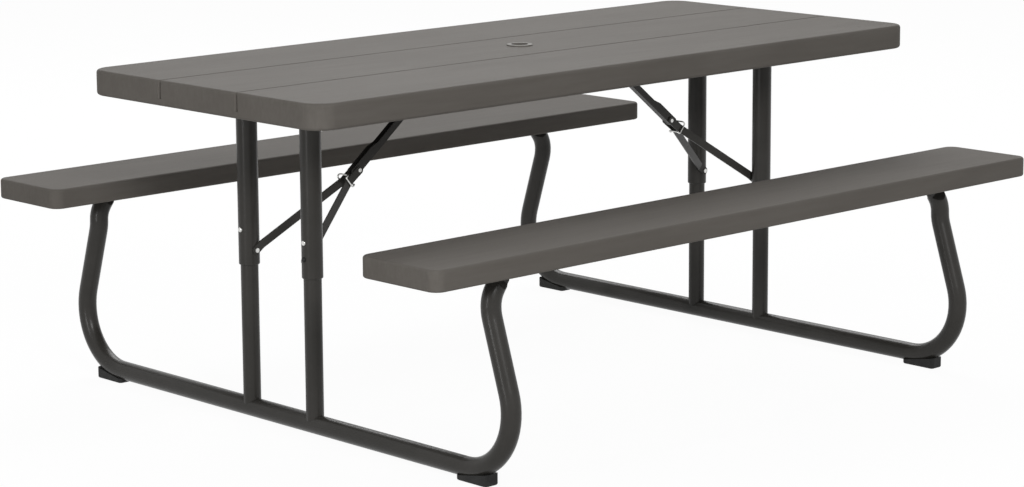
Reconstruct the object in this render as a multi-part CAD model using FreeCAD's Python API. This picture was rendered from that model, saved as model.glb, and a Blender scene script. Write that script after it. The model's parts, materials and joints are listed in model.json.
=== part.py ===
import FreeCAD, Part
import math
import os

# Folding picnic table with two attached benches, at full size, in millimetres.
# X runs along the table, Y across it and Z up. The origin is on the floor under the middle.
# Left is -X and right is +X. Front is -Y and back is +Y.

V = FreeCAD.Vector
ORIGIN = V(0, 0, 0)
X_AXIS = V(1, 0, 0)
Y_AXIS = V(0, 1, 0)
Z_AXIS = V(0, 0, 1)

# Shared allowances
overrun = 5.0                 # how far a cutting tool runs past the face it cuts
running_gap = 0.05            # radial play of a pin in its hole
slide_gap = 0.4               # play between sliding parts
side_gap = 0.2                # play between flat links that turn face to face
same_place = 0.01             # points or heights closer than this are one

# Tabletop, a hollow moulded panel with a rim and a recessed underside
top_length = 1818.0
top_width = 762.0
top_height = 753.5
top_thickness = 54.5
top_corner = 50.0
top_edge = 7.0
top_bottom_edge = 7.0
top_deck = 22.0
top_rim = 30.0
top_wall = 4.0
plank_count = 3
groove_width = 4.0
groove_depth = 2.5
notch_height = 40.0
vent_radius = 3.0
vent_inset = 160.0

# Umbrella ring, a bush in the middle of the tabletop
umbrella_bore_radius = 19.5
umbrella_ring_wall = 3.0
umbrella_flange_radius = 29.5
umbrella_flange = 3.0
umbrella_ring_tail = 2.0

# Leg frames: two posts on a floor tube whose ends rise as bench legs
frame_inset = 209.0           # leg frame inboard of the end of the tabletop, along X
post_spacing = 210.0          # between the two posts of a frame, along Y
hinge_drop = 25.5             # hinge axis below the rim of the tabletop
hinge_tube_radius = 12.7
hinge_tube_wall = 1.5
hinge_tube_overhang = 4.0
floor_tube_radius = 20.65
floor_tube_wall = 1.4
floor_tube_height = 26.5      # centre line of the floor tube above the floor
post_radius = 19.05
post_wall = 1.3
post_overlap = 127.0          # post inside its sleeve
sleeve_radius = 22.5
sleeve_wall = 1.5
sleeve_drop = 334.0           # sleeve bottom below the hinge axis
sleeve_top_rise = 16.0        # sleeve top above the hinge axis
sleeve_lip = 5.0
sleeve_bolt_drop = 257.0      # bolt that holds sleeve and post together, below the hinge axis
sleeve_bolt_radius = 3.0
sleeve_bolt_length = 12.0
sleeve_bolt_head_radius = 5.5
sleeve_bolt_head = 2.5
nut_sides = 6
plug_drop = 292.0             # plug in the sleeve, below the hinge axis
plug_radius = 5.5
plug_head = 3.0
drain_radius = 3.0

# Bench legs, the risen ends of the floor tube
leg_lean_slope = 0.32         # outward travel for each millimetre of fall
floor_bend = 130.0
lean_bend = 80.0
top_bend = 60.0
top_bend_angle = 35.0         # degrees that the leg's top leans towards the middle of the table
leg_upright = 32.0
leg_pivot_inset = 37.0        # bench pivot inboard of the frame, along X
leg_pivot_rise = 3.0          # bench pivot above the lower edge of the bench
leg_pivot_y = 648.0
leg_flat_length = 20.0        # length over which the tube end is pressed flat
leg_flat_half = 7.0           # half thickness of the pressed end
leg_flat_swell = 2.0
leg_tip_radius = 12.0

# Feet
foot_length = 89.0
foot_half_width = 19.0
foot_height = 11.0
foot_end_height = 25.0        # the outer end rises with the bend of the tube
foot_level = 10.0             # level stretch at the inner end
foot_y = 604.5
foot_corner = 9.0
foot_edge = 4.0

# Benches, hollow moulded planks
bench_length = 1835.0
bench_width = 226.0
bench_top = 476.0
bench_thickness = 44.0
bench_inner_edge = 503.5
bench_corner = 26.0
bench_edge = 6.0
bench_bottom_edge = 5.0
bench_deck = 13.0
bench_rim = 20.0
bench_wall = 3.0

# Bench brackets, slide rails and sliders
bracket_plate = 3.0
bracket_length = 60.0
bracket_width = 40.0
ear_half_length = 14.0
ear_sheet = 3.0
ear_gap = 0.5
bench_pin_radius = 5.0
bench_bolt_head_radius = 8.0
bench_bolt_head = 2.5
slide_rail_height = 10.0
slide_rail_width = 40.0
slide_rail_sheet = 2.0
slide_slot_half = 8.0
slide_rail_over = 26.0        # rail past the slider at both ends of its travel
slide_rail_screws = 4
slider_half_length = 22.0
slider_bridge = 2.2

# Rails under the tabletop, hinge brackets and screws
rail_size = 25.0
rail_wall = 1.5
rail_y = 150.0
rail_inset = 154.5            # rail end inboard of the end of the tabletop
hinge_bracket_sheet = 3.0
hinge_bracket_half = 14.5
screw_radius = 2.5
screw_head_radius = 5.0
screw_head = 3.0
screw_bite = 6.0
screws_per_rail = 5
rail_screw_inset = 80.0       # outer screws inboard of the rail ends

# Braces: a strut from the tabletop and two arms to the sleeves, joined at a knee
strut_pivot_inset = 368.0     # strut pivot inboard of the frame, along X
strut_pivot_drop = 20.0       # strut pivot below the hinge axis
arm_pivot_drop = 301.0        # arm pivot below the hinge axis
knee_slack = 0.1              # how much longer the braces are than the straight line they hold
strut_half_width = 8.0
strut_sheet = 1.8
strut_lower_half = 7.5
strut_upper_half = 7.5
strut_flare = 13.0
strut_flare_start = 78.0      # start of the flare before the knee
strut_flare_ramp = 22.0
strut_flare_end = 13.0        # end of the flare past the knee
strut_tail = 44.0
strut_tail_lower = 4.0
strut_tail_upper = 8.0
strut_pin_radius = 3.0
arm_half_height = 9.2
arm_sheet = 3.0
arm_split = 38.0              # where the two arms begin to part
arm_tip_length = 18.0
arm_sleeve_gap = 0.4
rivet_head = 1.2
rivet_head_radius = 4.5
arm_bolt_head_radius = 5.0
arm_bolt_head = 3.0
brace_mount_sheet = 3.0
brace_ear_half = 12.0
brace_mount_half = 22.0

# Lock ring, a loop of wire round the knee
ring_wire_radius = 1.75
ring_play = 0.3
ring_lower_play = 0.3
ring_upper_reach = 15.6
ring_hook = 8.0               # the cross runs stand back towards the knee
ring_corner = 3.5

# Worked out from the sizes above
frame_x = top_length / 2 - frame_inset
post_y = post_spacing / 2
rim_bottom = top_height - top_thickness
deck_bottom = top_height - top_deck
hinge_z = rim_bottom - hinge_drop
rail_bottom = deck_bottom - rail_size
rail_length = top_length - 2 * rail_inset
rail_screw_span = rail_length - 2 * rail_screw_inset
sleeve_bottom = hinge_z - sleeve_drop
sleeve_bolt_height = hinge_z - sleeve_bolt_drop
plug_height = hinge_z - plug_drop
post_top = sleeve_bottom + post_overlap
bench_bottom = bench_top - bench_thickness
bench_ceiling = bench_top - bench_deck
bench_y = bench_inner_edge + bench_width / 2
pivot_z = bench_bottom + leg_pivot_rise
pivot_x = frame_x - leg_pivot_inset
pivot_drop = hinge_z - pivot_z
bracket_face = rail_y + rail_size / 2
ear_inner = leg_flat_half + ear_gap
ear_outer = ear_inner + ear_sheet
slide_travel = 2 * (math.hypot(leg_pivot_inset, pivot_drop) - leg_pivot_inset)

# The brace is nearly straight when the table stands, and its strut lies level when it is folded
brace_run = strut_pivot_inset
brace_rise = arm_pivot_drop - strut_pivot_drop
brace_span = math.hypot(brace_run, brace_rise)
brace_total = brace_span + knee_slack
fold_shift = strut_pivot_inset - arm_pivot_drop
strut_length = (brace_total ** 2 - fold_shift ** 2 - strut_pivot_drop ** 2) / (2 * (brace_total + fold_shift))
arm_length = brace_total - strut_length
knee_along = (arm_length ** 2 - strut_length ** 2 + brace_span ** 2) / (2 * brace_span)
knee_sag = math.sqrt(arm_length ** 2 - knee_along ** 2)
brace_slope = math.atan2(brace_rise, brace_run)
arm_slope = brace_slope - math.atan2(knee_sag, knee_along)
strut_slope = brace_slope + math.atan2(knee_sag, brace_span - knee_along)

# Places of the left brace, mirrored for the right one
arm_pivot = V(-frame_x, 0, hinge_z - arm_pivot_drop)
strut_pivot = V(-frame_x + strut_pivot_inset, 0, hinge_z - strut_pivot_drop)
knee = arm_pivot + V(arm_length * math.cos(arm_slope), 0, arm_length * math.sin(arm_slope))
arm_inner = strut_half_width + side_gap
arm_outer = arm_inner + arm_sheet
arm_tip_outer = post_y - sleeve_radius - arm_sleeve_gap
arm_tip_inner = arm_tip_outer - arm_sheet
arm_spread = (arm_tip_inner - arm_inner) / (arm_length - arm_tip_length - arm_split)
ring_half = arm_outer + rivet_head + ring_play
ring_seat = arm_split + (ring_half - ring_play - arm_outer) / arm_spread - ring_wire_radius


def box(x0, x1, y0, y1, z0, z1):
    corner = V(min(x0, x1), min(y0, y1), min(z0, z1))
    return Part.makeBox(abs(x1 - x0), abs(y1 - y0), abs(z1 - z0), corner)


def rod(start, end, radius):
    run = end - start
    return Part.makeCylinder(radius, run.Length, start, run)


def tube(start, end, radius, wall):
    run = (end - start).normalize() * overrun
    return rod(start, end, radius).cut(rod(start - run, end + run, radius - wall))


def slab(centre_x, centre_y, length, width, z0, z1, corner):
    """A flat block with rounded upright corners."""
    block = box(centre_x - length / 2, centre_x + length / 2,
                centre_y - width / 2, centre_y + width / 2, z0, z1)
    upright = [e for e in block.Edges if abs(e.tangentAt(e.FirstParameter).z) > 0.5]
    return block.makeFillet(corner, upright)


def edges_at(shape, z):
    """The edges of a shape that lie at one height."""
    low = z - same_place
    high = z + same_place
    return [e for e in shape.Edges if e.BoundBox.ZMin > low and e.BoundBox.ZMax < high]


def bent_wire(points, radii):
    """Straight runs joined by tangent arcs, one radius for each inner point."""
    edges = []
    start = points[0]
    for before, corner, after, radius in zip(points, points[1:], points[2:], radii):
        inward = (before - corner).normalize()
        outward = (after - corner).normalize()
        turn = math.pi - inward.getAngle(outward)
        reach = radius * math.tan(turn / 2)
        first = corner + inward * reach
        last = corner + outward * reach
        bisector = (inward + outward).normalize()
        centre = corner + bisector * (radius / math.cos(turn / 2))
        middle = centre - bisector * radius
        if (first - start).Length > same_place:
            edges.append(Part.LineSegment(start, first).toShape())
        edges.append(Part.Arc(first, middle, last).toShape())
        start = last
    if (points[-1] - start).Length > same_place:
        edges.append(Part.LineSegment(start, points[-1]).toShape())
    return Part.Wire(edges)


def bent_bar(wire, radius):
    """A round bar along straight runs and arcs."""
    pieces = []
    for edge in wire.Edges:
        start = edge.valueAt(edge.FirstParameter)
        end = edge.valueAt(edge.LastParameter)
        heading = edge.tangentAt(edge.FirstParameter)
        disc = Part.Face(Part.Wire([Part.makeCircle(radius, start, heading)]))
        if edge.Curve.TypeId == "Part::GeomCircle":
            turn = math.degrees(edge.Length / edge.Curve.Radius)
            pieces.append(disc.revolve(edge.Curve.Center, edge.Curve.Axis, turn))
        else:
            pieces.append(disc.extrude(end - start))
    return pieces[0].fuse(pieces[1:]).removeSplitter()


def outline(points):
    """A flat face through points."""
    return Part.Face(Part.makePolygon(points + [points[0]]))


def moulded_panel(centre_y, length, width, top, bottom, deck, rim, wall, corner, edge, lower_edge):
    """A hollow blow-moulded panel: a double-walled deck inside a hollow rim."""
    outer = slab(0, centre_y, length, width, bottom, top, corner)
    outer = outer.makeFillet(edge, edges_at(outer, top))
    recess_corner = max(corner - rim / 2, wall)
    recess = slab(0, centre_y, length - 2 * rim, width - 2 * rim,
                  bottom - overrun, top - deck, recess_corner)
    shell = outer.cut(recess)
    shell = shell.makeFillet(lower_edge, edges_at(shell, bottom))
    hollow = slab(0, centre_y, length - 2 * wall, width - 2 * wall,
                  bottom + wall, top - wall, corner - wall)
    core = slab(0, centre_y, length - 2 * rim + 2 * wall, width - 2 * rim + 2 * wall,
                bottom, top - deck + wall, recess_corner + wall)
    return shell, hollow.cut(core)


def rail_screw_places():
    pitch = rail_screw_span / (screws_per_rail - 1)
    return [-rail_screw_span / 2 + i * pitch for i in range(screws_per_rail)]


def tabletop():
    shell, hollow = moulded_panel(0, top_length, top_width, top_height, rim_bottom, top_deck,
                                  top_rim, top_wall, top_corner, top_edge, top_bottom_edge)
    hole_radius = umbrella_bore_radius + umbrella_ring_wall
    post = rod(V(0, 0, rim_bottom), V(0, 0, top_height), hole_radius + top_wall)
    panel = shell.cut(hollow.cut(post))
    panel = panel.cut(rod(V(0, 0, rim_bottom), V(0, 0, top_height + overrun), hole_radius))
    plank = top_width / plank_count
    for i in range(1, plank_count):
        y = -top_width / 2 + i * plank
        panel = panel.cut(box(-top_length / 2 - overrun, top_length / 2 + overrun,
                              y - groove_width / 2, y + groove_width / 2,
                              top_height - groove_depth, top_height + overrun))
        for side in (-1, 1):
            end = side * top_length / 2
            panel = panel.cut(box(end - side * groove_depth, end + side * overrun,
                                  y - groove_width / 2, y + groove_width / 2,
                                  top_height - notch_height, top_height + overrun))
    for x in rail_screw_places():
        for side in (-1, 1):
            at = V(x, side * rail_y, deck_bottom)
            panel = panel.cut(rod(at - Z_AXIS * overrun, at + Z_AXIS * screw_bite, screw_radius))
    for side in (-1, 1):
        at = V(side * (top_length / 2 - vent_inset), 0, deck_bottom)
        panel = panel.cut(rod(at - Z_AXIS * overrun, at + Z_AXIS * 2 * top_wall, vent_radius))
    return panel


def umbrella_ring():
    outer_radius = umbrella_bore_radius + umbrella_ring_wall
    bottom = deck_bottom - umbrella_ring_tail
    flange_top = top_height + umbrella_flange
    ring = rod(V(0, 0, bottom), V(0, 0, flange_top), outer_radius)
    ring = ring.fuse(rod(V(0, 0, top_height), V(0, 0, flange_top), umbrella_flange_radius))
    ring = ring.removeSplitter()
    rim = [e for e in edges_at(ring, flange_top) if e.BoundBox.XLength > outer_radius * 2]
    ring = ring.makeFillet(umbrella_flange / 2, rim)
    return ring.cut(rod(V(0, 0, bottom - overrun), V(0, 0, flange_top + overrun), umbrella_bore_radius))


def rail(side):
    """Square tube under the tabletop, along X."""
    y = side * rail_y
    half = rail_size / 2
    bar = box(-rail_length / 2, rail_length / 2, y - half, y + half, rail_bottom, deck_bottom)
    inner = half - rail_wall
    bore = box(-rail_length / 2 - overrun, rail_length / 2 + overrun, y - inner, y + inner,
               rail_bottom + rail_wall, deck_bottom - rail_wall)
    bar = bar.cut(bore)
    for x in rail_screw_places():
        at = V(x, y, rail_bottom)
        bar = bar.cut(rod(at - Z_AXIS * overrun, at + Z_AXIS * (rail_size + overrun), screw_radius))
    return bar


def table_screws():
    screws = []
    for x in rail_screw_places():
        for side in (-1, 1):
            at = V(x, side * rail_y, rail_bottom)
            shank = rod(at, at + Z_AXIS * (rail_size + screw_bite), screw_radius)
            head = rod(at - Z_AXIS * screw_head, at, screw_head_radius)
            head = head.makeFillet(screw_head / 2, edges_at(head, at.z - screw_head))
            screws.append(head.fuse(shank))
    return Part.makeCompound(screws)


def hinge_brackets(side):
    """Two plates on the rails' outer faces that carry the hinge tube's ends."""
    brackets = []
    x = side * frame_x
    for row in (-1, 1):
        y0 = row * bracket_face
        y1 = row * (bracket_face + hinge_bracket_sheet)
        plate = box(x - hinge_bracket_half, x + hinge_bracket_half, y0, y1, hinge_z, deck_bottom)
        plate = plate.fuse(rod(V(x, y0, hinge_z), V(x, y1, hinge_z), hinge_bracket_half))
        hole = rod(V(x, y0 - row * overrun, hinge_z), V(x, y1 + row * overrun, hinge_z),
                   hinge_tube_radius + running_gap)
        brackets.append(plate.removeSplitter().cut(hole))
    return Part.makeCompound(brackets)


def hinge_tube(side):
    x = side * frame_x
    half = bracket_face + hinge_bracket_sheet + hinge_tube_overhang
    return tube(V(x, -half, hinge_z), V(x, half, hinge_z), hinge_tube_radius, hinge_tube_wall)


def sleeve(side, row):
    x = side * frame_x
    y = row * post_y
    top = hinge_z + sleeve_top_rise
    body = tube(V(x, y, sleeve_bottom), V(x, y, top), sleeve_radius, sleeve_wall)
    lip = tube(V(x, y, sleeve_bottom), V(x, y, sleeve_bottom + sleeve_lip),
               sleeve_radius, sleeve_radius - post_radius)
    body = body.fuse(lip).removeSplitter()
    inner_width = post_radius * 2 + same_place
    outer_edge = [e for e in edges_at(body, sleeve_bottom) if e.BoundBox.XLength > inner_width]
    body = body.makeFillet(sleeve_lip / 2, outer_edge)
    axle = rod(V(x, y - sleeve_radius - overrun, hinge_z), V(x, y + sleeve_radius + overrun, hinge_z),
               hinge_tube_radius)
    body = body.cut(axle).cut(sleeve_bolt_hole(side, row))
    if row == side:
        plug = rod(V(x, y, plug_height), V(x + side * (sleeve_radius + overrun), y, plug_height),
                   plug_radius / 2)
        body = body.cut(plug)
    return body


def sleeve_bolt_hole(side, row):
    """Hole through the outer walls of a sleeve and its post."""
    start = V(side * frame_x, row * post_y, sleeve_bolt_height)
    return rod(start, start + X_AXIS * side * (sleeve_radius + overrun), sleeve_bolt_radius)


def floor_wire(side):
    """Centre line of a floor tube and its two bench legs, up to the pressed ends."""
    x = side * frame_x
    angle = math.radians(top_bend_angle)
    knee_z = pivot_z - leg_pivot_inset / math.tan(angle)
    lean_z = knee_z - leg_upright
    floor_y = leg_pivot_y + leg_lean_slope * (lean_z - floor_tube_height)
    top = V(side * pivot_x, leg_pivot_y, pivot_z)
    tip = V(side * math.sin(angle), 0, -math.cos(angle)) * leg_tip_straight()
    half = [top + tip, V(x, leg_pivot_y, knee_z), V(x, leg_pivot_y, lean_z), V(x, floor_y, floor_tube_height)]
    front = [V(p.x, -p.y, p.z) for p in half]
    radii = [top_bend, lean_bend, floor_bend]
    return bent_wire(front + half[::-1], radii + radii[::-1])


def leg_tip(side, row):
    """The pressed end of a bench leg, with its pivot hole."""
    pivot = V(side * pivot_x, row * leg_pivot_y, pivot_z)
    angle = math.radians(top_bend_angle)
    along = V(-side * math.sin(angle), 0, math.cos(angle))
    across = along.cross(Y_AXIS)
    start = pivot - along * leg_tip_straight()
    press = start + along * leg_flat_length
    end = pivot + along * leg_tip_radius
    reach = floor_tube_radius + leg_flat_swell
    bar = rod(start, end, floor_tube_radius)
    flats = outline([start - Y_AXIS * reach, press - Y_AXIS * leg_flat_half, end - Y_AXIS * leg_flat_half,
                     end + Y_AXIS * leg_flat_half, press + Y_AXIS * leg_flat_half, start + Y_AXIS * reach])
    flats.translate(across * -reach)
    blade = outline([start - across * reach, press - across * reach, pivot - across * leg_tip_radius,
                     pivot + across * leg_tip_radius, press + across * reach, start + across * reach])
    blade.translate(Y_AXIS * -reach)
    round_end = rod(pivot - Y_AXIS * reach, pivot + Y_AXIS * reach, leg_tip_radius)
    bar = bar.common(flats.extrude(across * 2 * reach))
    bar = bar.common(blade.extrude(Y_AXIS * 2 * reach).fuse(round_end))
    return bar.cut(rod(pivot - Y_AXIS * reach, pivot + Y_AXIS * reach, bench_pin_radius + running_gap))


def leg_tip_straight():
    """Length of the straight run between the leg's top bend and the pivot."""
    angle = math.radians(top_bend_angle)
    return leg_pivot_inset / math.sin(angle) - top_bend * math.tan(angle / 2)


def floor_tube_solid(side):
    """The floor tube as a solid bar, also used for the seats cut in its neighbours."""
    return bent_bar(floor_wire(side), floor_tube_radius)


def floor_tube(side):
    bore = bent_bar(floor_wire(side), floor_tube_radius - floor_tube_wall)
    bar = floor_tube_solid(side).cut(bore)
    for row in (-1, 1):
        bar = bar.fuse(leg_tip(side, row))
    x = side * frame_x
    drain = rod(V(x, 0, 0), V(x, 0, floor_tube_height), drain_radius)
    return bar.cut(drain)


def post(side, row, seat):
    x = side * frame_x
    y = row * post_y
    body = tube(V(x, y, floor_tube_height), V(x, y, post_top), post_radius, post_wall)
    return body.cut(seat).cut(sleeve_bolt_hole(side, row))


def foot(side, row, seat):
    """Low saddle under the floor tube, higher where the tube begins to rise."""
    x = side * frame_x
    pad = slab(x, row * foot_y, 2 * foot_half_width, foot_length, 0, foot_end_height, foot_corner)
    pad = pad.makeFillet(foot_edge, edges_at(pad, 0))
    inner = foot_y - foot_length / 2
    outer = foot_y + foot_length / 2
    start_x = x - foot_half_width
    below = [V(start_x, row * y, z) for y, z in ((inner, 0), (outer, 0), (outer, foot_end_height),
                                                 (inner + foot_level, foot_height), (inner, foot_height))]
    pad = pad.common(outline(below).extrude(X_AXIS * 2 * foot_half_width))
    return pad.cut(seat)


def rounded_head(face, step, radius):
    """A low round head that stands out by step, with a rounded rim."""
    head = rod(face, face + step, radius)
    top = face + step
    rim = [e for e in head.Edges if abs(e.BoundBox.XMin - top.x) < same_place
           and abs(e.BoundBox.XMax - top.x) < same_place]
    return head.makeFillet(step.Length / 2, rim)


def sleeve_bolts(side):
    """One bolt in each sleeve, through its outer wall and into the post."""
    bolts = []
    outward = X_AXIS * side
    for row in (-1, 1):
        face = V(side * (frame_x + sleeve_radius), row * post_y, sleeve_bolt_height)
        head = rounded_head(face - outward * sleeve_wall, outward * (sleeve_bolt_head + sleeve_wall),
                            sleeve_bolt_head_radius)
        head = head.cut(rod(V(side * frame_x, face.y, sleeve_bottom), V(side * frame_x, face.y, hinge_z),
                            sleeve_radius))
        shank = rod(face - outward * sleeve_bolt_length, face, sleeve_bolt_radius)
        bolts.append(shank.fuse(head).removeSplitter())
    return Part.makeCompound(bolts)


def prism(start, end, radius):
    """A hexagonal nut between two points."""
    run = end - start
    turn = FreeCAD.Rotation(Z_AXIS, run)
    points = []
    for i in range(nut_sides):
        a = 2 * math.pi * i / nut_sides
        points.append(start + turn.multVec(V(radius * math.cos(a), radius * math.sin(a), 0)))
    return outline(points).extrude(run)


def sleeve_plug(side):
    """A small round plug in one sleeve, under its bolt. The frame of the other end is the same, turned."""
    outward = X_AXIS * side
    face = V(side * (frame_x + sleeve_radius), side * post_y, plug_height)
    head = rounded_head(face - outward * sleeve_wall, outward * (plug_head + sleeve_wall), plug_radius)
    head = head.cut(rod(V(side * frame_x, face.y, sleeve_bottom), V(side * frame_x, face.y, hinge_z),
                        sleeve_radius))
    return head.fuse(rod(face - outward * 2 * sleeve_wall, face, plug_radius / 2)).removeSplitter()


def bench_screw_places(row):
    """Screws that hold the fixed bracket and the slide rail of a bench."""
    y = row * leg_pivot_y
    fixed = [V(-pivot_x + s * (bracket_length / 2 - screw_head_radius - bracket_plate), y, bench_ceiling)
             for s in (-1, 1)]
    start, end = slide_rail_ends()
    inset = slide_rail_over / 2
    pitch = (end - start - 2 * inset) / (slide_rail_screws - 1)
    rail_places = [V(start + inset + i * pitch, y, bench_ceiling) for i in range(slide_rail_screws)]
    return fixed, rail_places


def slide_rail_ends():
    return pivot_x - slide_travel - slide_rail_over, pivot_x + slide_rail_over


def bench_seat(row):
    shell, hollow = moulded_panel(row * bench_y, bench_length, bench_width, bench_top, bench_bottom,
                                  bench_deck, bench_rim, bench_wall, bench_corner, bench_edge,
                                  bench_bottom_edge)
    seat = shell.cut(hollow)
    fixed, rails = bench_screw_places(row)
    for at in fixed + rails:
        seat = seat.cut(rod(at - Z_AXIS * overrun, at + Z_AXIS * screw_bite, screw_radius))
    for side in (-1, 1):
        at = V(side * (bench_length / 2 - vent_inset / 2), row * bench_y, bench_ceiling)
        seat = seat.cut(rod(at - Z_AXIS * overrun, at + Z_AXIS * 2 * bench_wall, vent_radius))
    return seat


def ears(x, y, top):
    """Two plates, one each side of the leg's pressed end, with the pivot hole."""
    pair = []
    for side in (-1, 1):
        y0 = y + side * ear_inner
        y1 = y + side * ear_outer
        plate = box(x - ear_half_length, x + ear_half_length, y0, y1, pivot_z, top)
        end = rod(V(x, y0, pivot_z), V(x, y1, pivot_z), leg_tip_radius)
        plate = plate.cut(box(x - ear_half_length - overrun, x - leg_tip_radius, y0, y1,
                              pivot_z - overrun, pivot_z + leg_tip_radius))
        plate = plate.cut(box(x + ear_half_length + overrun, x + leg_tip_radius, y0, y1,
                              pivot_z - overrun, pivot_z + leg_tip_radius))
        plate = plate.fuse(end).removeSplitter()
        pair.append(plate.cut(rod(V(x, y0 - side * overrun, pivot_z), V(x, y1 + side * overrun, pivot_z),
                                  bench_pin_radius)))
    return pair


def fixed_bracket(row):
    x = -pivot_x
    y = row * leg_pivot_y
    bottom = bench_ceiling - bracket_plate
    plate = slab(x, y, bracket_length, bracket_width, bottom, bench_ceiling, bracket_plate)
    for ear in ears(x, y, bottom):
        plate = plate.fuse(ear)
    fixed, rails = bench_screw_places(row)
    for at in fixed:
        plate = plate.cut(rod(at - Z_AXIS * 2 * bracket_plate, at + Z_AXIS * overrun, screw_radius))
    return plate.removeSplitter()


def pivot_bolt(x, row):
    """Bolt and nut through the ears and the leg's pressed end."""
    y = row * leg_pivot_y
    head_side = V(x, y + row * ear_outer, pivot_z)
    nut_side = V(x, y - row * ear_outer, pivot_z)
    step = Y_AXIS * -row * bench_bolt_head
    shank = rod(head_side, nut_side + step, bench_pin_radius)
    head = rod(head_side - step, head_side, bench_bolt_head_radius)
    return shank.fuse(head).fuse(prism(nut_side, nut_side + step, bench_bolt_head_radius))


def slide_rail(row):
    """C-shaped rail under a bench, in which the slider of the right leg runs."""
    y = row * leg_pivot_y
    start, end = slide_rail_ends()
    bottom = bench_ceiling - slide_rail_height
    half = slide_rail_width / 2
    bar = box(start, end, y - half, y + half, bottom, bench_ceiling)
    inner = half - slide_rail_sheet
    bar = bar.cut(box(start - overrun, end + overrun, y - inner, y + inner,
                      bottom + slide_rail_sheet, bench_ceiling - slide_rail_sheet))
    bar = bar.cut(box(start - overrun, end + overrun, y - slide_slot_half, y + slide_slot_half,
                      bottom - overrun, bottom + 2 * slide_rail_sheet))
    fixed, rails = bench_screw_places(row)
    for at in rails:
        bar = bar.cut(rod(at - Z_AXIS * slide_rail_sheet * 2, at + Z_AXIS * overrun, screw_head_radius))
    return bar


def bench_screws(row):
    screws = []
    fixed, rails = bench_screw_places(row)
    for at in fixed:
        face = at - Z_AXIS * bracket_plate
        head = rod(face - Z_AXIS * screw_head, face, screw_head_radius)
        screws.append(head.fuse(rod(face, at + Z_AXIS * screw_bite, screw_radius)))
    for at in rails:
        head = rod(at - Z_AXIS * slide_rail_sheet, at, screw_head_radius)
        screws.append(head.fuse(rod(at, at + Z_AXIS * screw_bite, screw_radius)))
    return Part.makeCompound(screws)


def slider(row):
    """T-shaped runner with two ears, on the right bench leg."""
    x = pivot_x
    y = row * leg_pivot_y
    rail_lip = bench_ceiling - slide_rail_height
    bridge_top = rail_lip - slide_gap
    bridge_bottom = bridge_top - slider_bridge
    head_half = slide_rail_width / 2 - slide_rail_sheet - slide_gap
    head_bottom = rail_lip + slide_rail_sheet + slide_gap
    head_top = bench_ceiling - slide_rail_sheet - slide_gap
    body = box(x - slider_half_length, x + slider_half_length, y - head_half, y + head_half,
               head_bottom, head_top)
    neck = slide_slot_half - slide_gap
    body = body.fuse(box(x - slider_half_length, x + slider_half_length, y - neck, y + neck,
                         bridge_top, head_bottom))
    body = body.fuse(box(x - slider_half_length, x + slider_half_length, y - ear_outer, y + ear_outer,
                         bridge_bottom, bridge_top))
    for ear in ears(x, y, bridge_bottom):
        body = body.fuse(ear)
    return body.removeSplitter()


def brace_frame(origin, angle):
    """Placement whose local X runs down a link, local Y to its swing side and local Z across it."""
    along = V(-math.cos(angle), 0, -math.sin(angle))
    swing = V(-math.sin(angle), 0, math.cos(angle))
    across = along.cross(swing)
    matrix = FreeCAD.Matrix(along.x, swing.x, across.x, origin.x,
                            along.y, swing.y, across.y, origin.y,
                            along.z, swing.z, across.z, origin.z)
    return FreeCAD.Placement(matrix)


def placed(shape, origin, angle):
    """A link drawn in its own frame, put where its brace holds it."""
    moved = shape.copy()
    moved.Placement = brace_frame(origin, angle).multiply(moved.Placement)
    return moved


def strut():
    """Channel from the tabletop to the knee, open on its swing side, with a tail past the knee."""
    end = strut_length + strut_flare_end
    start = -strut_lower_half
    flare = strut_length - strut_flare_start
    tail_end = strut_length + strut_tail
    side = [V(start, -strut_lower_half, 0), V(end - strut_lower_half / 2, -strut_lower_half, 0),
            V(end, -strut_tail_lower, 0), V(tail_end, -strut_tail_lower, 0),
            V(tail_end, strut_tail_upper, 0), V(end + strut_flare - strut_tail_upper, strut_tail_upper, 0),
            V(end, strut_flare, 0), V(flare + strut_flare_ramp, strut_flare, 0),
            V(flare, strut_upper_half, 0), V(start, strut_upper_half, 0)]
    bar = outline(side).extrude(V(0, 0, 2 * strut_half_width))
    bar.translate(V(0, 0, -strut_half_width))
    round_end = rod(V(0, 0, -strut_half_width), V(0, 0, strut_half_width), strut_lower_half)
    rest = box(0, tail_end, -strut_lower_half, strut_flare, -strut_half_width, strut_half_width)
    bar = bar.common(rest.fuse(round_end))
    inner = strut_half_width - strut_sheet
    channel = box(start - overrun, tail_end + overrun, strut_sheet - strut_lower_half,
                  strut_flare + overrun, -inner, inner)
    bar = bar.cut(channel)
    for x in (0, strut_length):
        bar = bar.cut(rod(V(x, 0, -strut_half_width - overrun), V(x, 0, strut_half_width + overrun),
                          strut_pin_radius + running_gap))
    return placed(bar, strut_pivot, strut_slope)


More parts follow.
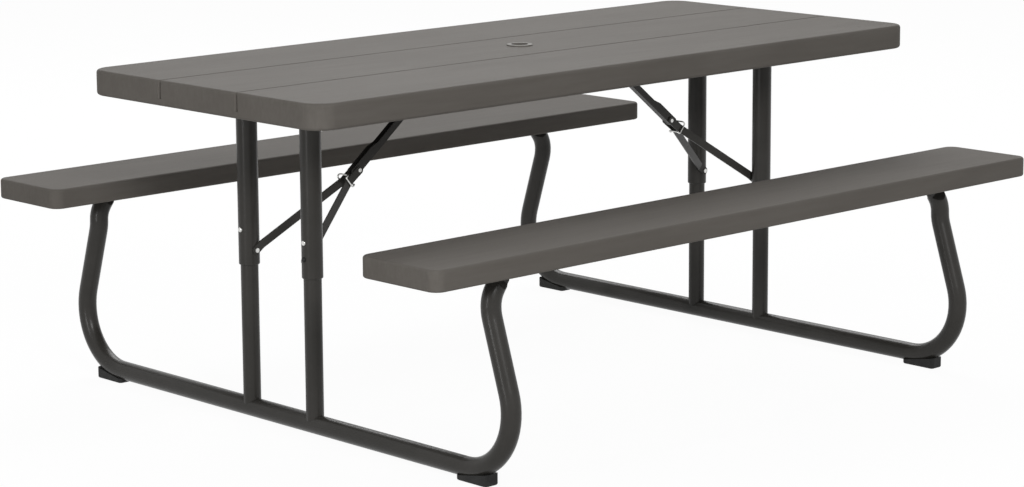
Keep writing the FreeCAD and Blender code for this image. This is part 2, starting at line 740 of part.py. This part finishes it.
def brace_arm(row):
    """Flat bar on edge: beside the knee it lies along the strut, then it spreads to the sleeve."""
    tip = arm_length - arm_tip_length
    root = -arm_half_height
    last = arm_length + arm_half_height
    lean = math.hypot(1, arm_spread)
    shift = arm_sheet * (lean - 1) / arm_spread
    plan = [V(root, 0, arm_inner), V(arm_split, 0, arm_inner), V(tip, 0, arm_tip_inner),
            V(last, 0, arm_tip_inner), V(last, 0, arm_tip_outer), V(tip - shift, 0, arm_tip_outer),
            V(arm_split - shift, 0, arm_outer), V(root, 0, arm_outer)]
    bar = outline(plan).extrude(V(0, 2 * arm_half_height, 0))
    bar.translate(V(0, -arm_half_height, 0))
    stadium = box(0, arm_length, -arm_half_height, arm_half_height, 0, arm_tip_outer + overrun)
    for x in (0, arm_length):
        stadium = stadium.fuse(rod(V(x, 0, 0), V(x, 0, arm_tip_outer + overrun), arm_half_height))
    bar = bar.common(stadium)
    for x in (0, arm_length):
        bar = bar.cut(rod(V(x, 0, 0), V(x, 0, arm_tip_outer + overrun), strut_pin_radius))
    if row * brace_frame(ORIGIN, arm_slope).Rotation.multVec(Z_AXIS).y < 0:
        bar = bar.mirror(ORIGIN, Z_AXIS)
    return placed(bar, knee, arm_slope)


def knee_rivet():
    reach = arm_outer
    shank = rod(V(0, 0, -reach), V(0, 0, reach), strut_pin_radius)
    for side in (-1, 1):
        start = V(0, 0, side * reach)
        shank = shank.fuse(rod(start, start + V(0, 0, side * rivet_head), rivet_head_radius))
    return placed(shank, knee, arm_slope)


def arm_bolts():
    """Bolts in the outer ends of the arms, with their heads between the sleeves."""
    bolts = []
    for side in (-1, 1):
        start = V(arm_length, 0, side * arm_tip_inner)
        head_end = V(arm_length, 0, side * (arm_tip_inner - arm_bolt_head))
        bolt = rod(start, V(arm_length, 0, side * arm_tip_outer), strut_pin_radius)
        bolts.append(bolt.fuse(rod(head_end, start, arm_bolt_head_radius)))
    return placed(Part.makeCompound(bolts), knee, arm_slope)


def lock_ring():
    """Closed loop of wire that locks the knee, held where the arms begin to part."""
    low = -(arm_half_height + ring_lower_play + ring_wire_radius)
    high = ring_upper_reach + ring_wire_radius
    half = ring_half + ring_wire_radius
    front = strut_length + ring_seat
    back = front - ring_hook
    near = [V(back, low, -half), V(front, low, -half), V(front, high, -half), V(back, high, -half)]
    far = [V(p.x, p.y, half) for p in reversed(near)]
    middle = (near[1] + near[2]) * 0.5
    points = [middle] + near[2:] + far + near[:2] + [middle]
    wire = bent_wire(points, [ring_corner] * (len(near) + len(far)))
    return placed(bent_bar(wire, ring_wire_radius), strut_pivot, strut_slope)


def brace_mount():
    """Plate between the rails with two ears that carry the strut."""
    x = strut_pivot.x
    half_y = rail_y - rail_size / 2
    plate = box(x - brace_mount_half, x + brace_mount_half, -half_y, half_y,
                rail_bottom, rail_bottom + brace_mount_sheet)
    for side in (-1, 1):
        y0 = side * (strut_half_width + ear_gap)
        y1 = y0 + side * brace_mount_sheet
        plate = plate.fuse(box(x - brace_ear_half, x + brace_ear_half, y0, y1, strut_pivot.z, rail_bottom))
        plate = plate.fuse(rod(V(x, y0, strut_pivot.z), V(x, y1, strut_pivot.z), brace_ear_half))
        start = V(x, y0 - side * ear_gap, strut_pivot.z)
        end = V(x, y1 + side * ear_gap, strut_pivot.z)
        plate = plate.cut(rod(start, end, strut_pin_radius))
    return plate.removeSplitter()


def strut_pin():
    reach = strut_half_width + ear_gap + brace_mount_sheet
    centre = strut_pivot
    pin = rod(centre - Y_AXIS * reach, centre + Y_AXIS * reach, strut_pin_radius)
    for side in (-1, 1):
        start = centre + Y_AXIS * side * reach
        pin = pin.fuse(rod(start, start + Y_AXIS * side * rivet_head, rivet_head_radius))
    return pin


def mirrored_right(shape):
    return shape.mirror(ORIGIN, X_AXIS)


def export(name, shape):
    shape.exportStep("parts/" + name + ".step")


def main():
    os.makedirs("parts", exist_ok=True)
    export("tabletop", tabletop())
    export("umbrella_ring", umbrella_ring())
    export("table_screws", table_screws())
    for row_name, row in (("front", -1), ("back", 1)):
        export(row_name + "_rail", rail(row))
        export(row_name + "_bench_seat", bench_seat(row))
        export(row_name + "_bench_bracket", fixed_bracket(row))
        export(row_name + "_bench_bolt", pivot_bolt(-pivot_x, row))
        export(row_name + "_bench_screws", bench_screws(row))
        export(row_name + "_slide_rail", slide_rail(row))
        export(row_name + "_slider", slider(row))
        export(row_name + "_slider_bolt", pivot_bolt(pivot_x, row))
    for side_name, side in (("left", -1), ("right", 1)):
        seat = floor_tube_solid(side)
        export(side_name + "_floor_tube", floor_tube(side))
        export(side_name + "_hinge_tube", hinge_tube(side))
        export(side_name + "_hinge_brackets", hinge_brackets(side))
        export(side_name + "_sleeve_bolts", sleeve_bolts(side))
        export(side_name + "_sleeve_plug", sleeve_plug(side))
        for row_name, row in (("front", -1), ("back", 1)):
            export(side_name + "_" + row_name + "_sleeve", sleeve(side, row))
            export(side_name + "_" + row_name + "_post", post(side, row, seat))
            export(side_name + "_" + row_name + "_foot", foot(side, row, seat))
    braces = {
        "brace_mount": brace_mount(),
        "strut_pin": strut_pin(),
        "strut": strut(),
        "front_arm": brace_arm(-1),
        "back_arm": brace_arm(1),
        "knee_rivet": knee_rivet(),
        "arm_bolts": arm_bolts(),
        "lock_ring": lock_ring(),
    }
    for name, shape in braces.items():
        export("left_" + name, shape)
        export("right_" + name, mirrored_right(shape))


main()
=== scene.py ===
import json
import math

import bmesh
import bpy
from mathutils import Matrix, Vector


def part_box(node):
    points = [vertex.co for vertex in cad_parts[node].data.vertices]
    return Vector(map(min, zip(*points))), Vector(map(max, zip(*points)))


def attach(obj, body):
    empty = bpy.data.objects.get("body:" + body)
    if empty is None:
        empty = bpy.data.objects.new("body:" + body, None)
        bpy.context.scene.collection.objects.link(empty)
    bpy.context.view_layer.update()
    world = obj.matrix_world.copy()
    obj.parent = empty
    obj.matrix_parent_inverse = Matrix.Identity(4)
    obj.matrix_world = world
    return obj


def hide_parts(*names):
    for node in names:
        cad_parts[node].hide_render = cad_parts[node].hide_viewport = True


# Folding picnic table with two attached benches, dressed over its CAD frame. Lengths are in metres.
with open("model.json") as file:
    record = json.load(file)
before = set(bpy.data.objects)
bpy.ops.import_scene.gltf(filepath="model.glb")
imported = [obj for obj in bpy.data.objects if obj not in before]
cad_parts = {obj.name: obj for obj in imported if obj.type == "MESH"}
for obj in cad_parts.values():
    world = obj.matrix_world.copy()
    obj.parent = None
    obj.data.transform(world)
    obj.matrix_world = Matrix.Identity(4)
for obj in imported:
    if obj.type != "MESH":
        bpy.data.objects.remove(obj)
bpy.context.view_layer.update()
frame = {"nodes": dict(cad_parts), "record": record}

# The photograph's camera: its image in pixels, its place in metres, its turns in degrees
image_width = 1024
image_height = 487
focal_pixels = 2939.96
principal_x = 525.32
principal_y = 192.38
camera_place = Vector((-4.52720, -4.74015, 1.59252))
camera_yaw = 43.78
camera_pitch = 10.16
camera_roll = 0.30
sensor_width = 36.0
far_clip = 100.0

# Moulded panels: corner radius seen from above, rounding of the upper and the lower edges, width of
# the rim round the recess underneath, and thickness of the deck over that recess
top_corner = 0.050
top_edge = 0.007
top_lower_edge = 0.007
top_rim = 0.030
top_deck = 0.022
bench_corner = 0.026
bench_edge = 0.006
bench_lower_edge = 0.005
bench_rim = 0.020
bench_deck = 0.013
recess_fillet = 0.006
corner_steps = 12
fillet_steps = 6
smooth_angle = math.radians(32)

# Grooves between the planks, along the top face and down the two end faces
plank_count = 3
groove_half_width = 0.0026
groove_depth = 0.0025
groove_end_half_width = 0.0048
groove_end_depth = 0.0055
groove_end_drop = 0.039
groove_overrun = 0.030

# Section of a groove with soft lips, in shares of its half width and of its depth
groove_shares = ((-1.6, -0.8), (-1.6, 0.0), (-1.05, 0.06), (-0.75, 0.35), (-0.4, 0.85), (0.0, 1.0),
                 (0.4, 0.85), (0.75, 0.35), (1.05, 0.06), (1.6, 0.0), (1.6, -0.8))

# Umbrella hole
hole_radius = 0.0225
hole_segments = 64
hole_cutter_length = 0.2

# Dimples of the panels' undersides: cones that start a little below the deck, off the fittings
dimple_radius = 0.011
dimple_depth = 0.0035
dimple_pitch = 0.062
dimple_taper = 0.55
dimple_segments = 20
dimple_overrun = 0.001
dimple_gap = 0.002

# Wood grain of the plastic: how far up a face has to look, shares of its parts, its relief
facing_up_limit = 0.75
fine_grain_share = 0.5
pebble_share = 0.12
grain_height = 0.0006
grain_strength = 0.8

# Studio: area lights as name, place, target, width and height, watts
lights = (("key", (2.9, 3.4, 4.7), (0, 0, 0.6), (3.5, 3.5), 155),
          ("front", (-2.6, -5.0, 3.0), (-0.3, 0, 0.6), (1.6, 1.2), 125),
          ("strip", (-4.9, -0.75, 0.9), (-0.7, 0, 0.5), (0.12, 2.0), 38))
white = (1, 1, 1, 1)
world_light = 0.26
floor_half = 12.0
floor_colour = (0.6, 0.6, 0.6, 1)
floor_roughness = 0.9
floor_glow = 1.06
# Share of the floor's look that is plain glow, over its own shaded colour
floor_glow_share = 0.9


def add_mesh(name, bm):
    mesh = bpy.data.meshes.new(name)
    bm.normal_update()
    bm.to_mesh(mesh)
    bm.free()
    piece = bpy.data.objects.new(name, mesh)
    bpy.context.scene.collection.objects.link(piece)
    return piece


def smooth(piece):
    """Smooth shading that keeps sharp edges, with normals led by the large faces."""
    mesh = piece.data
    mesh.shade_smooth()
    mesh.set_sharp_from_angle(angle=smooth_angle)
    weighted = piece.modifiers.new("weighted_normals", "WEIGHTED_NORMAL")
    weighted.keep_sharp = True


def apply_modifiers(piece):
    depsgraph = bpy.context.evaluated_depsgraph_get()
    mesh = bpy.data.meshes.new_from_object(piece.evaluated_get(depsgraph))
    piece.modifiers.clear()
    piece.data = mesh


def cut(piece, cutters):
    """Takes the cutters out of a piece and deletes them."""
    for cutter in cutters:
        boolean = piece.modifiers.new("cut", "BOOLEAN")
        boolean.operation = "DIFFERENCE"
        boolean.solver = "EXACT"
        boolean.object = cutter
        boolean.use_self = False
    bpy.context.view_layer.update()
    apply_modifiers(piece)
    for cutter in cutters:
        bpy.data.objects.remove(cutter)


def rounded_loop(centre, half_x, half_y, radius, z):
    """Points round a rectangle with rounded corners."""
    points = []
    for quarter, (sx, sy) in enumerate(((1, 1), (-1, 1), (-1, -1), (1, -1))):
        cx = centre[0] + sx * (half_x - radius)
        cy = centre[1] + sy * (half_y - radius)
        for i in range(corner_steps + 1):
            angle = math.pi / 2 * (quarter + i / corner_steps)
            points.append((cx + radius * math.cos(angle), cy + radius * math.sin(angle), z))
    return points


def skin_loops(bm, loops):
    """Closed skin through loops of equal length, with flat ends."""
    rings = [[bm.verts.new(p) for p in loop] for loop in loops]
    for a, b in zip(rings, rings[1:]):
        for i in range(len(a)):
            j = (i + 1) % len(a)
            bm.faces.new((a[i], a[j], b[j], b[i]))
    bm.faces.new(rings[0])
    bm.faces.new(list(reversed(rings[-1])))
    bmesh.ops.recalc_face_normals(bm, faces=bm.faces)


def arc_steps(start, end):
    """Angles in radians along a fillet that runs from start to end degrees."""
    return [math.radians(start + (end - start) * i / fillet_steps) for i in range(fillet_steps + 1)]


def panel_profile(top, bottom, edge, lower, rim, deck):
    """Inset and height of each loop, from the top face round the rim to the deck's underside."""
    steps = []
    for a in arc_steps(90, 0):
        steps.append((edge - edge * math.cos(a), top - edge + edge * math.sin(a)))
    for a in arc_steps(0, -90):
        steps.append((lower - lower * math.cos(a), bottom + lower + lower * math.sin(a)))
    for a in arc_steps(-90, 0):
        steps.append((rim - lower + lower * math.cos(a), bottom + lower + lower * math.sin(a)))
    for a in arc_steps(180, 90):
        steps.append((rim + recess_fillet + recess_fillet * math.cos(a),
                      top - deck - recess_fillet + recess_fillet * math.sin(a)))
    return steps


def moulded_panel(name, low, high, corner, edge, lower, rim, deck):
    """A panel with rounded edges and corners, hollow underneath."""
    centre = (low + high) / 2
    half = (high - low) / 2
    loops = []
    for inset, z in panel_profile(high.z, low.z, edge, lower, rim, deck):
        radius = max(corner - inset, corner / 3)
        loops.append(rounded_loop(centre, half.x - inset, half.y - inset, radius, z))
    bm = bmesh.new()
    skin_loops(bm, loops)
    return add_mesh(name, bm)


def groove_bar(name, inward, half_width, depth, start, end):
    """A bar with the section of a groove from start to end; inward points into the panel."""
    across = Vector((0, 1, 0))
    section = [across * (a * half_width) + inward * (b * depth) for a, b in groove_shares]
    bm = bmesh.new()
    skin_loops(bm, [[p + place for p in section] for place in (start, end)])
    return add_mesh(name, bm)


def groove_cutters(low, high):
    cutters = []
    for i in range(1, plank_count):
        y = low.y + (high.y - low.y) * i / plank_count
        cutters.append(groove_bar("groove", Vector((0, 0, -1)), groove_half_width, groove_depth,
                                  Vector((low.x - groove_overrun, y, high.z)),
                                  Vector((high.x + groove_overrun, y, high.z))))
        for x, inward in ((low.x, 1), (high.x, -1)):
            cutters.append(groove_bar("notch", Vector((inward, 0, 0)),
                                      groove_end_half_width, groove_end_depth,
                                      Vector((x, y, high.z - groove_end_drop)),
                                      Vector((x, y, high.z + groove_overrun))))
    return cutters


def hole_cutter(high):
    hole = bmesh.new()
    bmesh.ops.create_cone(hole, cap_ends=True, segments=hole_segments, radius1=hole_radius,
                          radius2=hole_radius, depth=hole_cutter_length,
                          matrix=Matrix.Translation((0, 0, high.z)))
    return add_mesh("hole", hole)


def dimple_cutter(low, high, rim, deck, fittings, hole_clearance=0.0):
    """Cones pressed up into the deck's underside, on a staggered grid, clear of the fittings."""
    gap = dimple_radius + dimple_gap

    def in_the_way(x, y):
        return math.hypot(x, y) < hole_clearance or any(
            a.x - gap < x < b.x + gap and a.y - gap < y < b.y + gap for a, b in fittings)
    bm = bmesh.new()
    z = high.z - deck
    margin = rim + 2 * recess_fillet + dimple_radius
    row = 0
    y = low.y + margin
    while y < high.y - margin:
        x = low.x + margin + (dimple_pitch / 2 if row % 2 else 0)
        while x < high.x - margin:
            if not in_the_way(x, y):
                place = Matrix.Translation((x, y, z + dimple_depth / 2 - dimple_overrun / 2))
                bmesh.ops.create_cone(bm, cap_ends=True, segments=dimple_segments,
                                      radius1=dimple_radius, radius2=dimple_radius * dimple_taper,
                                      depth=dimple_depth + dimple_overrun, matrix=place)
            x += dimple_pitch
        y += dimple_pitch * math.sqrt(3) / 2
        row += 1
    return add_mesh("dimples", bm)


def tabletop():
    low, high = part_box("tabletop")
    panel = moulded_panel("table_panel", low, high, top_corner, top_edge, top_lower_edge, top_rim,
                          top_deck)
    rails = [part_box("front_rail"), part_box("back_rail")]
    mounts = [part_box(side + "_brace_mount") for side in ("left", "right")]
    cutters = groove_cutters(low, high) + [hole_cutter(high)]
    cutters.append(dimple_cutter(low, high, top_rim, top_deck, rails + mounts, 2 * hole_radius))
    cut(panel, cutters)
    smooth(panel)
    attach(panel, "table")
    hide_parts("tabletop")
    panel.data.materials.append(plastic)


def bench(row):
    low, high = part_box(row + "_bench_seat")
    seat = moulded_panel(row + "_seat_panel", low, high, bench_corner, bench_edge, bench_lower_edge,
                         bench_rim, bench_deck)
    fittings = [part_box(row + "_bench_bracket"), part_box(row + "_slide_rail")]
    cut(seat, [dimple_cutter(low, high, bench_rim, bench_deck, fittings)])
    smooth(seat)
    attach(seat, row + "_bench")
    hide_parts(row + "_bench_seat")
    seat.data.materials.append(plastic)


def new_material(name, roughness, metallic=0.0, specular=0.5):
    material = bpy.data.materials.new(name)
    material.use_nodes = True
    shader = material.node_tree.nodes["Principled BSDF"]
    shader.inputs["Roughness"].default_value = roughness
    shader.inputs["Metallic"].default_value = metallic
    shader.inputs["Specular IOR Level"].default_value = specular
    return material, material.node_tree, shader


def node(tree, kind, **inputs):
    n = tree.nodes.new(kind)
    for key, value in inputs.items():
        n.inputs[key].default_value = value
    return n


def object_coords(tree):
    return tree.nodes.new("ShaderNodeTexCoord").outputs["Object"]


def noise(tree, coords, scale, detail, roughness=0.55, stretch=(1, 1, 1)):
    mapping = tree.nodes.new("ShaderNodeMapping")
    mapping.inputs["Scale"].default_value = stretch
    tree.links.new(coords, mapping.inputs["Vector"])
    n = node(tree, "ShaderNodeTexNoise", Scale=scale, Detail=detail, Roughness=roughness)
    tree.links.new(mapping.outputs["Vector"], n.inputs["Vector"])
    return n.outputs["Fac"]


def colour_ramp(tree, fac, stops):
    ramp = tree.nodes.new("ShaderNodeValToRGB")
    elements = ramp.color_ramp.elements
    while len(elements) < len(stops):
        elements.new(0.5)
    for element, (place, colour) in zip(elements, stops):
        element.position = place
        element.color = (*colour, 1.0)
    tree.links.new(fac, ramp.inputs["Fac"])
    return ramp.outputs["Color"]


def maths(tree, operation, a, b):
    """A maths node; a and b are numbers or other nodes' outputs."""
    m = tree.nodes.new("ShaderNodeMath")
    m.operation = operation
    for socket, value in zip(m.inputs, (a, b)):
        if isinstance(value, (int, float)):
            socket.default_value = value
        else:
            tree.links.new(value, socket)
    return m.outputs["Value"]


def bump(tree, shader, height, distance, strength):
    b = node(tree, "ShaderNodeBump", Strength=strength, Distance=distance)
    tree.links.new(height, b.inputs["Height"])
    tree.links.new(b.outputs["Normal"], shader.inputs["Normal"])


def plastic_material():
    """Grey-brown moulded plastic, with a wood grain pressed into the faces that look up."""
    material, tree, shader = new_material("moulded_plastic", 0.6, specular=0.09)
    coords = object_coords(tree)
    grain = noise(tree, coords, 1.0, 8.0, 0.62, (5, 150, 60))
    fine = noise(tree, coords, 1.0, 3.0, 0.6, (45, 900, 400))
    blotch = noise(tree, coords, 5.0, 3.0, 0.5, (0.6, 1.6, 1.0))
    pebble = noise(tree, coords, 900.0, 2.0)
    geometry = tree.nodes.new("ShaderNodeNewGeometry")
    split = tree.nodes.new("ShaderNodeSeparateXYZ")
    tree.links.new(geometry.outputs["Normal"], split.inputs["Vector"])
    facing_up = maths(tree, "GREATER_THAN", split.outputs["Z"], facing_up_limit)
    all_grain = maths(tree, "ADD", grain, maths(tree, "MULTIPLY", fine, fine_grain_share))
    wood = maths(tree, "MULTIPLY", all_grain, facing_up)
    height = maths(tree, "ADD", wood, maths(tree, "MULTIPLY", pebble, pebble_share))
    bump(tree, shader, height, grain_height, grain_strength)
    half_grain, half_blotch = (maths(tree, "MULTIPLY", part, 0.5) for part in (grain, blotch))
    shade = maths(tree, "ADD", half_grain, half_blotch)
    colours = ((0.32, (0.130, 0.119, 0.106)), (0.5, (0.145, 0.133, 0.119)),
               (0.68, (0.162, 0.150, 0.135)))
    tree.links.new(colour_ramp(tree, shade, colours), shader.inputs["Base Color"])
    return material


def blotched_material(name, roughness, blotches, colours, peel=None, metallic=0.0, specular=0.5):
    """A finish with faint blotches between two colours, and a fine peel where one is given.
    blotches holds scale and detail; peel holds scale, height and strength."""
    material, tree, shader = new_material(name, roughness, metallic, specular)
    coords = object_coords(tree)
    blotch = noise(tree, coords, *blotches)
    tree.links.new(colour_ramp(tree, blotch, colours), shader.inputs["Base Color"])
    if peel:
        scale, height, strength = peel
        bump(tree, shader, noise(tree, coords, scale, 2.0), height, strength)
    return material


def dress_frame():
    """Materials for the CAD nodes that stay in view."""
    finish = {"moulded_plastic": plastic, "powder_coated_steel": steel,
              "black_plastic": black, "zinc_plated_steel": zinc}
    slots = {part["node"]: part["material_slot"] for part in frame["record"]["subparts"]}
    for name, piece in frame["nodes"].items():
        look = ring_plastic_painted_highlight if name == "umbrella_ring" else finish[slots[name]]
        piece.data.materials.clear()
        piece.data.materials.append(look)


def camera():
    yaw, pitch, roll = (math.radians(a) for a in (camera_yaw, camera_pitch, camera_roll))
    forward = Vector((math.sin(yaw) * math.cos(pitch), math.cos(yaw) * math.cos(pitch),
                      -math.sin(pitch)))
    right = Vector((math.cos(yaw), -math.sin(yaw), 0))
    down = forward.cross(right)
    rolled_right = right * math.cos(roll) + down * math.sin(roll)
    rolled_down = down * math.cos(roll) - right * math.sin(roll)
    data = bpy.data.cameras.new("photo_camera")
    eye = bpy.data.objects.new("photo_camera", data)
    bpy.context.scene.collection.objects.link(eye)
    turn = Matrix((rolled_right, -rolled_down, -forward)).transposed()
    eye.matrix_world = Matrix.Translation(camera_place) @ turn.to_4x4()
    data.sensor_width = sensor_width
    data.lens = focal_pixels * sensor_width / image_width
    data.shift_x = (image_width / 2 - principal_x) / image_width
    data.shift_y = (principal_y - image_height / 2) / image_width
    data.clip_end = far_clip
    bpy.context.scene.camera = eye


def area_light(name, place, target, size, watts):
    data = bpy.data.lights.new(name, "AREA")
    data.shape = "RECTANGLE"
    data.size, data.size_y = size
    data.energy = watts
    light = bpy.data.objects.new(name, data)
    bpy.context.scene.collection.objects.link(light)
    light.location = place
    light.rotation_euler = (Vector(target) - Vector(place)).to_track_quat("-Z", "Y").to_euler()


def seen(tree):
    """1 for camera, glossy and transmission rays, otherwise 0."""
    path = tree.nodes.new("ShaderNodeLightPath")
    either = path.outputs["Is Camera Ray"]
    for kind in ("Is Glossy Ray", "Is Transmission Ray"):
        either = maths(tree, "MAXIMUM", either, path.outputs[kind])
    return either


def mixed(tree, share, base, over):
    mix = tree.nodes.new("ShaderNodeMixShader")
    tree.links.new(share, mix.inputs["Fac"])
    tree.links.new(base.outputs[0], mix.inputs[1])
    tree.links.new(over.outputs[0], mix.inputs[2])
    return mix.outputs[0]


def studio():
    """Area lights in a faint white world that looks pure white behind the object."""
    world = bpy.data.worlds.new("studio")
    bpy.context.scene.world = world
    world.use_nodes = True
    tree = world.node_tree
    tree.nodes.clear()
    faint = node(tree, "ShaderNodeBackground", Color=white, Strength=world_light)
    bright = node(tree, "ShaderNodeBackground", Color=white, Strength=1.0)
    output = tree.nodes.new("ShaderNodeOutputWorld")
    tree.links.new(mixed(tree, seen(tree), faint, bright), output.inputs[0])
    for light in lights:
        area_light(*light)


def floor():
    """A wide floor that looks almost white and still takes soft shadows."""
    bm = bmesh.new()
    bmesh.ops.create_grid(bm, x_segments=1, y_segments=1, size=floor_half)
    ground = add_mesh("floor", bm)
    material, tree, shader = new_material("pale_floor", floor_roughness)
    shader.inputs["Base Color"].default_value = floor_colour
    glow = node(tree, "ShaderNodeEmission", Color=white, Strength=floor_glow)
    share = maths(tree, "MULTIPLY", seen(tree), floor_glow_share)
    surface = tree.nodes["Material Output"].inputs["Surface"]
    tree.links.new(mixed(tree, share, shader, glow), surface)
    ground.data.materials.append(material)


camera()
plastic = plastic_material()
steel = blotched_material(
    "powder_coat", 0.28, (12.0, 3.0),
    ((0.35, (0.040, 0.038, 0.034)), (0.65, (0.048, 0.045, 0.041))),
    peel=(700.0, 0.00012, 0.6), specular=0.2)
black = blotched_material(
    "black_plastic", 0.62, (60.0, 5.0),
    ((0.4, (0.008, 0.008, 0.008)), (0.75, (0.022, 0.022, 0.021))),
    peel=(1200.0, 0.0001, 0.5), specular=0.3)
zinc = blotched_material(
    "bright_zinc", 0.28, (400.0, 3.0),
    ((0.3, (0.55, 0.55, 0.53)), (0.7, (0.78, 0.78, 0.76))), metallic=1.0)
# The umbrella ring is smoother and shinier than the panels; its lighter colour is a painted
# highlight
ring_plastic_painted_highlight = blotched_material(
    "ring_plastic_painted_highlight", 0.5, (90.0, 3.0),
    ((0.35, (0.160, 0.149, 0.133)), (0.65, (0.190, 0.178, 0.160))),
    peel=(1500.0, 0.00008, 0.5), specular=0.22)
dress_frame()
tabletop()
for bench_row in ("front", "back"):
    bench(bench_row)
floor()
studio()
bpy.context.scene.view_settings.view_transform = "Standard"
